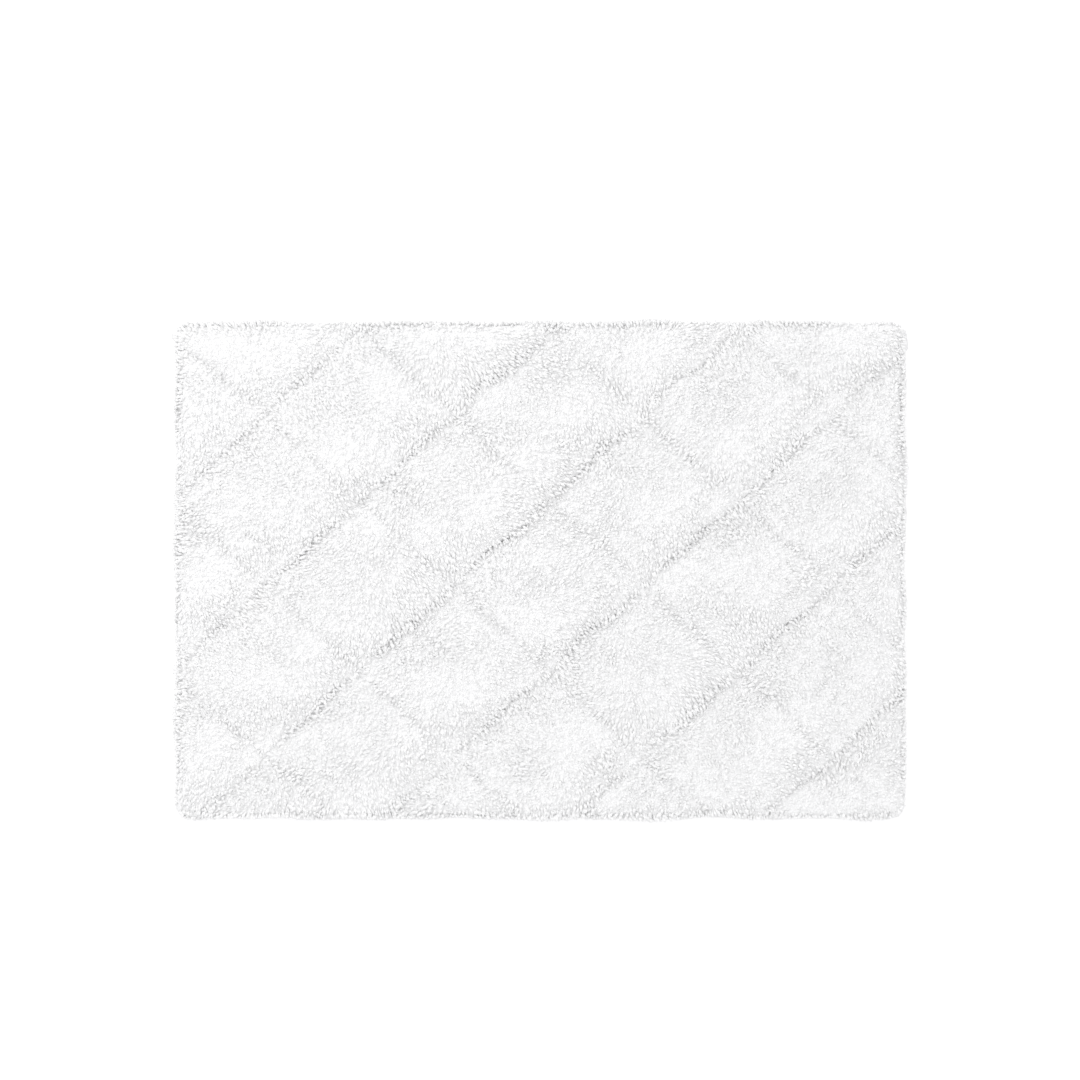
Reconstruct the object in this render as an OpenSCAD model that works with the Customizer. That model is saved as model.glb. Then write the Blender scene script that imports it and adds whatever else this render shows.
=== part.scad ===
// Tufted cotton bath mat with a sculpted diamond pile.
// Frame: X runs along the mat's length, Y along its depth and Z up. The origin is on the floor
// under the mat's centre. All sizes are in millimetres.
//
// From the floor up: a hem tape round the edge with two rows of lock stitch, a foamed latex coat
// that fills the frame of tape and runs over it, a woven backing cloth, and the cut pile. Lines
// that hold no tufts cross the pile both ways, so it stands in separate diamonds.

/* [Mat] */
// Length of the mat over its pile
mat_w = 750; // [720:5:770]
// Depth of the mat over its pile
mat_d = 510; // [490:5:530]
// Radius of the mat's four corners
corner_r = 16; // [14:1:24]
// How far the outermost tufts lean out past the backing cloth
overhang = 4.5; // [3:0.5:6]

/* [Pile] */
// Height of the pile above the backing cloth
pile_h = 14.4; // [8:0.2:20]
// Width of a whole diamond, along X
diamond_w = 194; // [190:1:198]
// Height of a whole diamond, along Y
diamond_h = 175; // [172:1:178]
// Place along X of the crossing of channels nearest the middle of the back edge
pattern_x = 8; // [0:1:16]
// Distance of that crossing from the back edge
pattern_inset = 7; // [5:1:9]
// Width of the line without tufts, on the backing cloth
channel_w = 8; // [5:0.5:10]
// Gap that the leaning tufts leave across a channel
channel_gap = 1; // [0.6:0.2:2]
// How far the crown of a diamond draws in from its widest line
crown_in = 6; // [3:0.5:8]

/* [Backing] */
// Thickness of the woven backing cloth
cloth_t = 0.8; // [0.5:0.1:1.5]
// Thickness of the foamed latex coat
latex_t = 1.8; // [1.5:0.1:2.5]

/* [Hem] */
// Width of the hem tape
tape_w = 24; // [18:1:30]
// Thickness of the hem tape
tape_t = 0.8; // [0.7:0.05:0.9]
// Distance of each row of stitches from its edge of the tape
stitch_in = 4; // [3:0.5:6]
// Width of the sewing thread
thread_w = 0.7; // [0.5:0.05:0.7]

/* [Care label] */
// Length of the label that shows, along X
label_l = 34; // [25:1:45]
// Width of the label, along Y
label_w = 26; // [18:1:35]
// Place of the label's middle along Y
label_y = -150; // [-170:5:170]

/* [Hidden] */
$fn = 48;
ROUND_FN = 20;       // segments in a full circle of a panel's rounded outline
FIT = 0.05;          // clearance between pieces that are pressed into each other
SEAM_GAP = 0.3;      // gap between the tape's inner edge and the latex
SKIN = 0.01;         // thickness of the flat outlines that a hull joins

cloth_w = mat_w - 2 * overhang;
cloth_d = mat_d - 2 * overhang;
cloth_r = corner_r - overhang;
cloth_z = latex_t;
pile_z = cloth_z + cloth_t;
bulge_h = 0.55 * pile_h;     // height at which a panel is widest
panel_corner_r = 6;
thread_t = thread_w - 0.1;
label_t = 0.4;
label_tuck = 8;              // length of the label that is held between tape and latex
tape_in_w = cloth_w - 2 * tape_w;
tape_in_d = cloth_d - 2 * tape_w;

// Panels are laid out in rows from the back edge. Even rows stand half a diamond to the side.
rows = [0 : 6];
columns = [-3 : 3];
LEAST_OVERLAP = 0.75;        // a diamond further out than this is too small a corner to hold pile

function panel_x(c) = pattern_x + (c[1] + (c[0] % 2 == 0 ? 0.5 : 0)) * diamond_w;
function panel_y(c) = mat_d / 2 - pattern_inset - c[0] * diamond_h / 2;
function beyond(v, half) = max(abs(v) - half, 0);
function reach(c) = beyond(panel_x(c), mat_w / 2) / (diamond_w / 2)
                  + beyond(panel_y(c), mat_d / 2) / (diamond_h / 2);
panels = [for (r = rows) for (k = columns) if (reach([r, k]) < LEAST_OVERLAP) [r, k]];
function column_number(c) = len([for (p = panels) if (p[0] == c[0] && p[1] <= c[1]) 1]);
function panel_name(c) = str("pile_r", c[0] + 1, "_c", column_number(c));

COTTON = [0.96, 0.96, 0.95];
LATEX = [0.93, 0.92, 0.88];
TAPE = [0.94, 0.94, 0.93];
THREAD = [0.98, 0.98, 0.98];
LABEL = [0.97, 0.97, 0.97];

// A flat rectangle with round corners, of true arcs
module round_rect(w, d, r) {
    square([w - 2 * r, d], center = true);
    square([w, d - 2 * r], center = true);
    for (sx = [-1, 1], sy = [-1, 1])
        translate([sx * (w / 2 - r), sy * (d / 2 - r)]) circle(r);
}

module slab(w, d, r, z0, z1) {
    translate([0, 0, z0]) linear_extrude(z1 - z0) round_rect(w, d, r);
}

// A frame of constant width, whose outer edge lies edge_in inside the cloth's edge
module frame(edge_in, width, z0, z1) {
    difference() {
        slab(cloth_w - 2 * edge_in, cloth_d - 2 * edge_in, max(cloth_r - edge_in, 2), z0, z1);
        slab(cloth_w - 2 * (edge_in + width), cloth_d - 2 * (edge_in + width),
             max(cloth_r - edge_in - width, 1), z0 - 1, z1 + 1);
    }
}

// The label: a flap on the floor, a step up the tape's inner edge and a tongue over the tape.
// grow widens it, to cut its pocket in the latex.
module label_shape(grow) {
    x0 = -tape_in_w / 2;
    w = label_w + 2 * grow;
    flap_x = x0 + FIT;
    translate([flap_x - grow, label_y - w / 2, -grow])
        cube([label_l + 2 * grow, w, label_t + 2 * grow]);
    translate([flap_x - grow, label_y - w / 2, -grow])
        cube([label_t + 2 * grow, w, tape_t + label_t + 2 * grow]);
    translate([x0 - label_tuck - grow, label_y - w / 2, tape_t])
        cube([label_tuck + FIT + label_t + 2 * grow, w, label_t + grow]);
}

module care_label() {
    color(LABEL) label_shape(0);
}

// The latex fills the frame of tape down to the floor and runs on over the tape to the edge.
module latex_coat() {
    color(LATEX) difference() {
        union() {
            slab(tape_in_w - 2 * SEAM_GAP, tape_in_d - 2 * SEAM_GAP, 1, 0, latex_t);
            slab(cloth_w, cloth_d, cloth_r, tape_t, latex_t);
        }
        label_shape(FIT);
    }
}

module backing_cloth() {
    color(COTTON) slab(cloth_w, cloth_d, cloth_r, cloth_z, cloth_z + cloth_t);
}

// One side of the hem tape, mitred at both ends. along and across are the cloth's sizes, so the
// strip lies on the side at -Y before it is turned.
module hem_tape(turn, along, across) {
    far = along / 2 + 1;
    near = along / 2 - tape_w - 1;
    mitre = [[-far, -across / 2 - 1], [far, -across / 2 - 1],
             [near, -across / 2 + tape_w + 1], [-near, -across / 2 + tape_w + 1]];
    color(TAPE) intersection() {
        difference() {
            frame(0, tape_w, 0, tape_t);
            stitch_groove(stitch_in);
            stitch_groove(tape_w - stitch_in);
        }
        rotate(turn) translate([0, 0, -1]) linear_extrude(tape_t + 2) polygon(mitre);
    }
}

module stitch_groove(edge_in) {
    frame(edge_in - thread_w / 2 - FIT, thread_w + 2 * FIT, -1, thread_t + FIT);
}

// A row of lock stitch round the mat, as one thread pressed into the tape
module hem_stitching(edge_in) {
    color(THREAD) frame(edge_in - thread_w / 2, thread_w, 0, thread_t);
}

// The outline of one diamond where it lies inside the mat, drawn in by inset on every side, and
// by gap more along the channels
module panel_outline(c, gap, inset) {
    offset(r = panel_corner_r, $fn = ROUND_FN) offset(delta = -panel_corner_r - inset)
        intersection() {
            offset(delta = -gap) translate([panel_x(c), panel_y(c)])
                polygon([[diamond_w / 2, 0], [0, diamond_h / 2],
                         [-diamond_w / 2, 0], [0, -diamond_h / 2]]);
            round_rect(mat_w, mat_d, corner_r, $fn = 2 * ROUND_FN);
        }
}

// One diamond of pile: narrow at its roots, widest where the tufts lean out, crowned above
module pile_panel(c) {
    half_gap = channel_gap / 2;
    root_in = channel_w / 2 - half_gap;
    color(COTTON) hull() {
        translate([0, 0, pile_z]) linear_extrude(SKIN)
            panel_outline(c, half_gap, max(root_in, overhang));
        translate([0, 0, pile_z + bulge_h]) linear_extrude(SKIN)
            panel_outline(c, half_gap, 0);
        translate([0, 0, pile_z + 0.85 * pile_h]) linear_extrude(SKIN)
            panel_outline(c, half_gap, crown_in / 3);
        translate([0, 0, pile_z + pile_h - SKIN]) linear_extrude(SKIN)
            panel_outline(c, half_gap, crown_in);
    }
}

latex_coat();
backing_cloth();
hem_tape(0, cloth_w, cloth_d);  // hem_tape_front
hem_tape(180, cloth_w, cloth_d);  // hem_tape_back
hem_tape(-90, cloth_d, cloth_w);  // hem_tape_left
hem_tape(90, cloth_d, cloth_w);  // hem_tape_right
hem_stitching(stitch_in);  // hem_stitching_outer
hem_stitching(tape_w - stitch_in);  // hem_stitching_inner
care_label();
for (c = panels) pile_panel(c);
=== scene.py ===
# %% [markdown]
# # A tufted cotton bath mat
# The mat lies flat on the floor. From the floor up it is a taped hem, a foamed latex coat, a
# woven cloth and about forty thousand cut ends of thick cotton yarn. Lines that were left without
# yarn cross the pile both ways, so it stands in 31 separate diamonds.
#
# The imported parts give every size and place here, so they are loaded first. Each of them is then
# replaced by a finished piece that stands in the same space.

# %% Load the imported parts
import math
import bpy
import numpy as np
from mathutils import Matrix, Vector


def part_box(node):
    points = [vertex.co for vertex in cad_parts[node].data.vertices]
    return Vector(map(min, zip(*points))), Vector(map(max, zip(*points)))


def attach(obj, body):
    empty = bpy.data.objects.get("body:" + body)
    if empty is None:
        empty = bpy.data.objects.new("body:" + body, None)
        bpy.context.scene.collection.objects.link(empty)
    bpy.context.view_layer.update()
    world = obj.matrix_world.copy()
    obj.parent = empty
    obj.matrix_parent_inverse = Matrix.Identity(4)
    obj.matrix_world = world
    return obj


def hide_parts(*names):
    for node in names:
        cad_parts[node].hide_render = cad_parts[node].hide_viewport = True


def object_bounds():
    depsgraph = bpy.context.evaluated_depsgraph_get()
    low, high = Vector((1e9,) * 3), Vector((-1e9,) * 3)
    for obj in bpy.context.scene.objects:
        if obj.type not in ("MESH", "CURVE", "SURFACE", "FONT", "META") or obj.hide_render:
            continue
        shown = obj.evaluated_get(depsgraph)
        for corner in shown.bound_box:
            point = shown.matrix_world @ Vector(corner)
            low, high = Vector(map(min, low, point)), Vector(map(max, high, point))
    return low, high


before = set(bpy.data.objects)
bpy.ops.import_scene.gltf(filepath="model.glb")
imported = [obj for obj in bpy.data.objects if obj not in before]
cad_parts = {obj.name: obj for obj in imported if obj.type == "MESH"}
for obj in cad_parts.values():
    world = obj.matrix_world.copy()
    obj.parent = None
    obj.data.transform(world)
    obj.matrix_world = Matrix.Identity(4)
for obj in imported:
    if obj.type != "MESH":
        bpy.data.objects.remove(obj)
cad_low, cad_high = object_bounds()
MM = 0.001
print("parts:", len(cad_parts), "box in mm:", [round(v / MM, 1) for v in (cad_high - cad_low)])

# %% [markdown]
# ## The camera
# A mat is a flat thing, so it is shown from straight above. A long lens, high up, keeps its four
# sides square to each other. A camera with no turn at all already looks straight down, with +Y
# at the top of the picture, so only its height has to be worked out: the width that it sees is
# the distance times the sensor's width over the lens's length.

# %% Camera
seen_width = 1105 * MM        # the mat fills about two thirds of it
camera_aside = 31 * MM        # the camera stands a little behind the mat's middle
lens_length = 110             # a long lens, in Blender's own millimetres
sensor_width = 36

lens_data = bpy.data.cameras.new("camera")
lens_data.lens = lens_length
lens_data.sensor_width = sensor_width
camera = bpy.data.objects.new("camera", lens_data)
bpy.context.scene.collection.objects.link(camera)
camera_height = seen_width * lens_length / sensor_width
camera.location = (0, camera_aside, camera_height + cad_high.z)
bpy.context.scene.camera = camera
print("camera height in m:", round(camera.location.z, 2))

# %% [markdown]
# ## Floor and light
# White cotton on a white floor is only told apart by its shading, so the light has to come from
# one side. A big soft lamp stands low at the back left corner, along one of the two families of
# channels: the other family then runs across the light, and each of its channels gets a bright
# side and a dark side. The world gives the rest of the light, evenly, which keeps the shadows
# between the tufts pale. The floor glows a little of itself, so it stays white right up to the mat.
# The plain Standard view keeps white as white.

# %% Floor and light
lamp_turn = math.radians(139)     # from +X, so towards the back left
lamp_rise = math.radians(38)      # over the floor
lamp_distance = 2.4
lamp_size = 0.9                   # a wide lamp, so its shadows have soft edges
lamp_power = 21
sky_strength = 1.1
sky_colour = (0.984, 0.984, 1.0, 1)         # with the least touch of blue
view_gamma = 1.7                  # lifts the middle greys, for a bright and airy look
floor_size = 12
floor_white = (0.9, 0.9, 0.9, 1)
floor_glow = 0.2

scene = bpy.context.scene
scene.view_settings.view_transform = "Standard"
scene.view_settings.gamma = view_gamma

world = bpy.data.worlds.new("studio")
world.use_nodes = True
sky = world.node_tree.nodes["Background"]
sky.inputs["Color"].default_value = sky_colour
sky.inputs["Strength"].default_value = sky_strength
scene.world = world

lamp_data = bpy.data.lights.new("soft_lamp", "AREA")
lamp_data.shape = "DISK"
lamp_data.size = lamp_size
lamp_data.energy = lamp_power
lamp = bpy.data.objects.new("soft_lamp", lamp_data)
scene.collection.objects.link(lamp)
lamp_level = lamp_distance * math.cos(lamp_rise)
lamp.location = (lamp_level * math.cos(lamp_turn), lamp_level * math.sin(lamp_turn),
                 lamp_distance * math.sin(lamp_rise))
lamp.rotation_mode = "QUATERNION"
lamp.rotation_quaternion = lamp.location.to_track_quat("Z", "Y")

bpy.ops.mesh.primitive_plane_add(size=floor_size)
floor = bpy.context.object
floor.name = "floor"
floor_paint = bpy.data.materials.new("floor_paint")
floor_paint.use_nodes = True
floor_shader = floor_paint.node_tree.nodes["Principled BSDF"]
floor_shader.inputs["Base Color"].default_value = floor_white
floor_shader.inputs["Roughness"].default_value = 0.8
floor_shader.inputs["Emission Color"].default_value = (1, 1, 1, 1)
floor_shader.inputs["Emission Strength"].default_value = floor_glow
floor.data.materials.append(floor_paint)
print("lamp at", [round(v, 2) for v in lamp.location])

# %% [markdown]
# ## Small helpers
# An operator works on everything that is selected, and the loaded parts arrive selected, so each
# step first clears the selection. In edit mode, what an operator should touch is picked by its
# place: `pick` opens the mesh and selects the points, edges or faces whose middle passes a test.

# %% Helpers for modelling
def choose_none():
    if bpy.context.object and bpy.context.object.mode != "OBJECT":
        bpy.ops.object.mode_set(mode="OBJECT")
    bpy.ops.object.select_all(action="DESELECT")


def choose(piece):
    choose_none()
    piece.select_set(True)
    bpy.context.view_layer.objects.active = piece


def middles(piece, kind):
    points = piece.data.vertices
    if kind == "VERT":
        return [(v, v.co) for v in points]
    if kind == "EDGE":
        return [(e, (points[e.vertices[0]].co + points[e.vertices[1]].co) / 2)
                for e in piece.data.edges]
    return [(f, f.center) for f in piece.data.polygons]


def pick(piece, kind, test):
    choose(piece)
    bpy.ops.object.mode_set(mode="EDIT")
    bpy.ops.mesh.select_mode(type=kind)
    bpy.ops.mesh.select_all(action="DESELECT")
    bpy.ops.object.mode_set(mode="OBJECT")
    for part, middle in middles(piece, kind):
        part.select = bool(test(middle))
    bpy.ops.object.mode_set(mode="EDIT")


# %% [markdown]
# ## One end of yarn
# Each stitch of the tufting needle leaves two cut ends of three-ply cotton yarn. An end could be a
# particle hair, but hair isn't a mesh and has no thickness. Here it is modelled once, as a short
# straight rod: a cylinder with six sides, cut into rings. Every second corner is drawn in,
# which gives the three plies, and each ring is turned a little further than the one below, which
# twists them. The rings near the top swell where the yarn opens, and the last one closes the tip.

# %% Model a yarn end
yarn_l = 18.5 * MM
yarn_r = 1.5 * MM
ply_groove = 0.68             # how far every second corner is drawn in, as a share of the radius
ring_places = [0, 0.45, 0.86, 1.0]          # shares of the length
SIDES = 6                     # two corners for each of the three plies


def model_rod(name, length, radius, places, girths, twist):
    """A twisted three-ply rod that stands on the origin, with rings at places, girths wide."""
    choose_none()
    bpy.ops.mesh.primitive_cylinder_add(vertices=SIDES, radius=radius, depth=length,
                                        end_fill_type="NGON", location=(0, 0, length / 2))
    bpy.ops.object.transform_apply(location=True, rotation=True, scale=True)
    rod = bpy.context.object
    rod.name = name
    pick(rod, "EDGE", lambda p: abs(p.z - length / 2) < length / 4)
    bpy.ops.mesh.subdivide(number_cuts=len(places) - 2)
    # the plies: every second corner is drawn in
    pick(rod, "VERT", lambda p: round(math.atan2(p.y, p.x) / (math.tau / SIDES)) % 2 == 1)
    bpy.ops.transform.resize(value=(ply_groove, ply_groove, 1), center_override=(0, 0, 0))
    even = length / (len(places) - 1)
    # ring k moves from its even place to its own, in the order in which no two ever meet
    order = list(reversed(range(len(places))))
    if places[1] * length < even:
        order.reverse()
    for k in order:
        here, there = even * k, length * places[k]
        pick(rod, "VERT", lambda p: abs(p.z - here) < length * 0.01)
        bpy.ops.transform.resize(value=(girths[k], girths[k], 1), center_override=(0, 0, here))
        bpy.ops.transform.rotate(value=twist * places[k], orient_axis="Z",
                                 center_override=(0, 0, here))
        bpy.ops.transform.translate(value=(0, 0, there - here))
    choose_none()
    return rod


# the girths of the four rings and the twist, for a plain end, an opened one and a slim one
yarn_ends = [
    model_rod("yarn_end_plain", yarn_l, yarn_r, ring_places, [0.9, 1.05, 1.0, 0.45], 2.6),
    model_rod("yarn_end_open", yarn_l, yarn_r, ring_places, [0.9, 1.1, 1.2, 0.62], 1.9),
    model_rod("yarn_end_slim", yarn_l, yarn_r, ring_places, [0.85, 0.92, 0.82, 0.32], 3.2),
]
print("faces in a yarn end:", [len(e.data.polygons) for e in yarn_ends])

# %% [markdown]
# The ends are read into plain arrays, since thousands of copies are bent and laid with sums, and
# then taken out of the scene. Each array holds the points, the faces, and two maps: `yarn` says how
# far round and how far along a point lies, for the twist of the cotton, and `cell` is the same
# end laid flat in a square, so that each copy can have a square of its own on one picture.

# %% Read the yarn ends into arrays
CAP_ROOM = 0.2                # share of a square that holds the two small end faces


def read_mesh(piece):
    mesh = piece.data
    co = np.zeros(len(mesh.vertices) * 3)
    mesh.vertices.foreach_get("co", co)
    corners = np.zeros(len(mesh.loops), int)
    mesh.loops.foreach_get("vertex_index", corners)
    sizes = np.zeros(len(mesh.polygons), int)
    mesh.polygons.foreach_get("loop_total", sizes)
    flat = np.zeros(len(mesh.loops) * 2)
    if mesh.uv_layers:
        mesh.uv_layers[0].data.foreach_get("uv", flat)
    return {"co": co.reshape(-1, 3), "corners": corners, "sizes": sizes,
            "flat": flat.reshape(-1, 2)}


def add_yarn_maps(shape, length):
    flat, along = shape["flat"], shape["co"][shape["corners"], 2] / length
    # a new cylinder's sides lie in the upper half of its map, and its ends in the lower half
    side = np.repeat(shape["sizes"] == 4, shape["sizes"])
    up = np.where(side, CAP_ROOM + (flat[:, 1] - 0.5) * 2 * (1 - CAP_ROOM),
                  flat[:, 1] * 2 * CAP_ROOM)
    across = np.where(side, flat[:, 0], flat[:, 0] * 2 * CAP_ROOM)
    shape["cell"] = np.stack([across, up], 1)
    shape["yarn"] = np.stack([np.where(side, flat[:, 0], 0.5), along], 1)
    return shape


end_shapes = [add_yarn_maps(read_mesh(end), yarn_l) for end in yarn_ends]
for end in yarn_ends:
    bpy.data.objects.remove(end)
print("points in a yarn end:", len(end_shapes[0]["co"]))

# %% [markdown]
# ## How the pile lies
# The look of a shag comes from how its ends lean, so a few smooth fields say that for any place on
# the mat. `ripple` is a sum of long waves that run in random directions: it gives an even,
# natural-looking unevenness of a chosen size, and the same one each time, because its numbers
# come from a seed.

# %% Smooth unevenness
origin = np.zeros((1, 2))     # the mat's middle, as a place to try each field at


def ripple(at, size, seed, waves=14):
    """Smooth noise of about -1 to 1 at each row of at, that changes over about size metres."""
    draw = np.random.default_rng(seed)
    turn = draw.uniform(0, math.tau, waves)
    fast = math.tau / (size * draw.uniform(1.6, 3.2, waves))
    start = draw.uniform(0, math.tau, waves)
    swing = at[:, :1] * np.cos(turn) * fast + at[:, 1:2] * np.sin(turn) * fast + start
    return np.sin(swing).sum(1) * math.sqrt(2 / waves) * 0.7


def ease(value, low, high):
    """0 below low, 1 above high, and a smooth climb between."""
    t = np.clip((value - low) / (high - low), 0, 1)
    return t * t * (3 - 2 * t)


print("ripple at the middle:", ripple(origin, 30 * MM, 1).round(2))

# %% [markdown]
# The needle's rows are straight, but the lines between the diamonds wander a little, and so does
# the mat's edge. `wander` gives that: an end asks whether it stands in a diamond not at its own
# place, but at a place a few millimetres away. Near the edge the push fades, or ends
# would stand outside the cloth.

# %% Wandering lines
line_wander = 2.6 * MM        # how far the lines stray, and over how long a way
line_wave = 28 * MM
edge_wander = 1.3 * MM        # and the same of the mat's edge
edge_wave = 60 * MM
edge_from = 8 * MM            # this near the edge a place only strays as the edge does
edge_to = 60 * MM
half_size = np.array([cad_high.x, cad_high.y])


def wander(at):
    push = np.zeros_like(at)
    for axis in (0, 1):
        room = half_size[axis] - np.abs(at[:, axis])
        inner = ease(room, edge_from, edge_to)
        push[:, axis] = (ripple(at, line_wave, 11 + axis) * line_wander * inner
                         + ripple(at, edge_wave, 21 + axis) * edge_wander * (1 - inner))
    return push


print("the middle strays by mm:", (wander(origin)[0] / MM).round(2))

# %% [markdown]
# Each diamond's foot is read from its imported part: the lowest points of a solid with no hollows are
# the corners of its outline. From the outline come, for each root, the distance to every side
# and the way out over it. A side on the mat's edge is told from a side on a channel by its place.
# The distance to the mat's edge, a rectangle with round corners, is found in the usual way: fold
# the place into one corner, and measure from the corner's own centre.

# %% Outlines of the diamonds
edge_corner = 17 * MM         # the radius of the trimmed pile's round corners
edge_near = 8 * MM            # a side whose middle lies this near the mat's edge is part of it,
edge_facing = 0.8             # if it also faces that way


def beyond_edge(at):
    """How far each place lies outside the mat, and the way out."""
    fold = np.abs(at) - (half_size - edge_corner)
    outer = np.maximum(fold, 0)
    length = np.linalg.norm(outer, axis=1)
    distance = length + np.minimum(fold.max(1), 0) - edge_corner
    out = np.where(length[:, None] > 0, outer / np.maximum(length, 1e-9)[:, None],
                   (fold == fold.max(1, keepdims=True)).astype(float))
    return distance, out * np.sign(at)


def foot_outline(node):
    shape = read_mesh(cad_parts[node])["co"]
    low = shape[shape[:, 2] < shape[:, 2].min() + 0.005 * MM][:, :2]
    low = np.unique(np.round(low, 7), axis=0)
    middle = low.mean(0)
    turn = np.arctan2(low[:, 1] - middle[1], low[:, 0] - middle[0])
    return low[np.argsort(turn)]


def sides_of(outline):
    """Start, outward direction and whether it is on the mat's edge, for each side."""
    after = np.roll(outline, -1, axis=0)
    run = after - outline
    out = np.stack([run[:, 1], -run[:, 0]], 1) / np.linalg.norm(run, axis=1)[:, None]
    distance, way = beyond_edge((outline + after) / 2)
    on_edge = (distance > -edge_near) & ((out * way).sum(1) > edge_facing)
    return outline, out, on_edge


pile_nodes = sorted(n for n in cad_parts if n.startswith("pile_"))
pile_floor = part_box(pile_nodes[0])[0].z
print("diamonds:", len(pile_nodes), "pile starts at mm:", round(pile_floor / MM, 2))

# %% [markdown]
# Why an end leans is added up from a few things. The first is the nap, the way that the whole
# neighbourhood was last brushed: to the left on the left side of the mat, and this way and that
# further right.

# %% The nap
nap_lean = 8.5 * MM
nap_swing = 0.6               # how far the nap turns from side to side, in half turns
nap_turns = 120 * MM          # over how long a way it does
nap_even, nap_uneven = 0.8, 0.35            # its strength, and how much that varies
nap_swells = 40 * MM          # over how long a way it does
brushed_from = -300 * MM      # left of here the nap holds its way best
brushed_to = 50 * MM          # right of here it wanders freely


def nap(at):
    """The way and length that each place was brushed."""
    left = 1 - ease(at[:, 0], brushed_from, brushed_to)
    turn = math.pi * (1 + nap_swing * ripple(at, nap_turns, 31) * (1.25 - left))
    much = nap_lean * (nap_even + nap_uneven * ripple(at, nap_swells, 32))
    return np.stack([np.cos(turn), np.sin(turn)], 1) * much[:, None]


print("nap at the middle in mm:", (nap(origin)[0] / MM).round(1))

# %% [markdown]
# The second is that neighbours cling together in locks. The middles of the locks are a grid of
# points that were each pushed aside by chance, and an end belongs to the nearest of them. The nine
# squares round the end are tried in turn, for all ends at once.

# %% Locks
lock_size = 9.5 * MM
lock_pull = 0.25              # share of the way to its lock's middle that an end leans
lock_field = 1.2 * half_size  # the grid runs a little past the mat on every side


def lock_middles(at, seed):
    """The middle of the lock that each root belongs to."""
    draw = np.random.default_rng(seed)
    across = int(2 * lock_field[0] / lock_size), int(2 * lock_field[1] / lock_size)
    places = draw.uniform(-0.5, 0.5, (across[0], across[1], 2))
    cell = np.floor((at + lock_field) / lock_size).astype(int)
    best, best_gap = np.zeros_like(at), np.full(len(at), np.inf)
    for step_x in (-1, 0, 1):
        for step_y in (-1, 0, 1):
            c = np.clip(cell + [step_x, step_y], 0, np.array(across) - 1)
            middle = (c + 0.5 + places[c[:, 0], c[:, 1]]) * lock_size - lock_field
            gap = np.linalg.norm(middle - at, axis=1)
            nearer = gap < best_gap
            best[nearer], best_gap[nearer] = middle[nearer], gap[nearer]
    return best


print("lock nearest the middle in mm:", (lock_middles(origin, 41)[0] / MM).round(1))

# %% [markdown]
# The third is open space. Ends beside a channel fall out over it and nearly close it, and ends at
# the mat's edge fall out further. Not all channels show alike. The light runs along one family of
# them, which is faint. The other family shows, and most of all on the shaded side of its lines.
# `strength` lets every channel fade and deepen along its length, and in a few listed places
# the pile has parted and shows a deep crease.

# %% Channels, edges and partings
faint_channel = 0.10          # how plain a side of a diamond is: along the light,
front_channel = 0.32          # at its front right,
back_channel = 0.46           # and at its back left
fading = 0.55                 # by what share the channels fade and deepen,
fading_size = 55 * MM         # over how long a way,
least_strength, most_strength = 0.3, 1.7    # and between what bounds
crop_reach = 8 * MM           # how far in from a channel or an edge the pile is sheared lower
partings = np.array([[5, 72], [15, -97], [256, 36]]) * MM
parting_size = 15 * MM


def depths(at, sides):
    """How far inside each side of a diamond each place lies."""
    start, out = sides[:2]
    return -((at[:, None, :] - start[None]) * out[None]).sum(2)


def channel_share(out):
    """How plain each side of a diamond shows, by its outward direction."""
    plain = np.where(out[:, 0] > 0, front_channel, back_channel)
    return np.where(out[:, 0] * out[:, 1] < 0, plain, faint_channel)


def strength(at):
    """How strongly the channels show at each place."""
    return np.clip(1 + fading * ripple(at, fading_size, 33), least_strength, most_strength)


def closeness(at, sides):
    """1 right at a channel or at the mat's edge, and 0 further away, for each of the two."""
    near = np.exp(-(np.maximum(depths(at, sides), 0) / crop_reach) ** 2)
    at_channel = np.where(sides[2], 0, near * channel_share(sides[1])).max(1) * strength(at)
    return at_channel, np.where(sides[2], near, 0).max(1)


def at_corner(at):
    """1 right at a corner of the mat, and 0 further away."""
    room = np.maximum(half_size - np.abs(at), 0)
    return np.exp(-(room / crop_reach) ** 2).prod(1)


def at_parting(at):
    """1 in the middle of a place where the pile has parted, and 0 away from them all."""
    away = ((at[:, None] - partings[None]) ** 2).sum(2)
    return np.exp(-away / parting_size ** 2).max(1)


print("strength of the channels at the partings:", strength(partings).round(2))

# %% [markdown]
# The shears don't leave the pile at one height either. At the back left of a diamond it starts a
# little lower and climbs slowly, so each diamond has a soft shaded flank behind the line. `hollow`
# says by what share of its height an end is lower there.

# %% Sheared hollows
hollow_share = 0.13           # how much of its height the pile loses right at the line
hollow_reach = 30 * MM        # and over how long a way it gets most of that back
slanting_by = 0.2             # a side that slants less counts as one along the mat's edge


def hollow(at, sides):
    """By what share the pile was sheared lower at each place."""
    out, on_edge = sides[1:]
    back = ~on_edge & (out[:, 0] < -slanting_by) & (out[:, 1] > slanting_by)
    near = np.exp(-np.maximum(depths(at, sides), 0) / hollow_reach)
    return hollow_share * np.where(back, near, 0).max(1) * strength(at)


middle_sides = sides_of(foot_outline(pile_nodes[len(pile_nodes) // 2]))
print("hollow at the mat's middle:", hollow(origin, middle_sides).round(3))

# %% [markdown]
# `lean_of` adds everything up. Where an end already falls out over open space, the nap counts for
# less. Some way in from its front right side, a diamond has a soft crest whose ends lean forward,
# and every end has a small lean of its own besides.

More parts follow.
